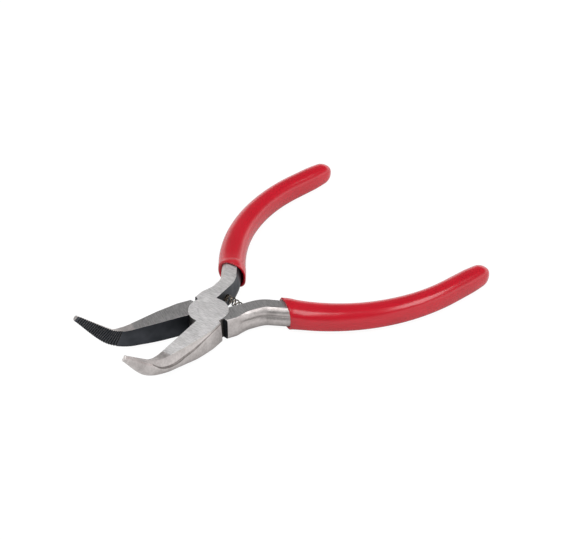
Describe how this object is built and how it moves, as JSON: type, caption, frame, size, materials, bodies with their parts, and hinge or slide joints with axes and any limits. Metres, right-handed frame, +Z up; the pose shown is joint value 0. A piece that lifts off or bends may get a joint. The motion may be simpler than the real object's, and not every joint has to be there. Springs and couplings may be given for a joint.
{
  "type": "bent-nose pliers",
  "caption": "Small bent-nose pliers: forged levers in a riveted lap joint, serrated upturned tips, a coil return spring and slip-on vinyl grips.",
  "frame": {"origin": "on the pivot axis, at the ground underside of the joint", "axes": "+Z up the pivot axis, out of the ground top face; +X from the pivot towards the handles, midway between them, so the jaws point along -X; +Y towards the handle of lever_a"},
  "size_m": [0.1166, 0.078, 0.0176],
  "materials": {
    "lever_steel": "forged steel, ground flat on both faces and polished on the outer sides",
    "rivet_steel": "ground flush with the joint",
    "spring_wire": "oil-tempered wire, dark and slightly glossy",
    "vinyl": "glossy dipped vinyl"
  },
  "bodies": {
    "lower_half": {"lever_b": "lever_steel", "grip_b": "vinyl", "return_spring": "spring_wire"},
    "upper_half": {"lever_a": "lever_steel", "grip_a": "vinyl", "rivet": "rivet_steel"}
  },
  "joints": [
    {"name": "pivot", "type": "hinge", "parent": "lower_half", "child": "upper_half", "pos_m": [0, 0, 0], "axis": [0, 0, 1], "range_deg": [-33, 15.5], "stiffness_Nm_per_rad": 0.46, "deforming": ["return_spring"]}
  ]
}
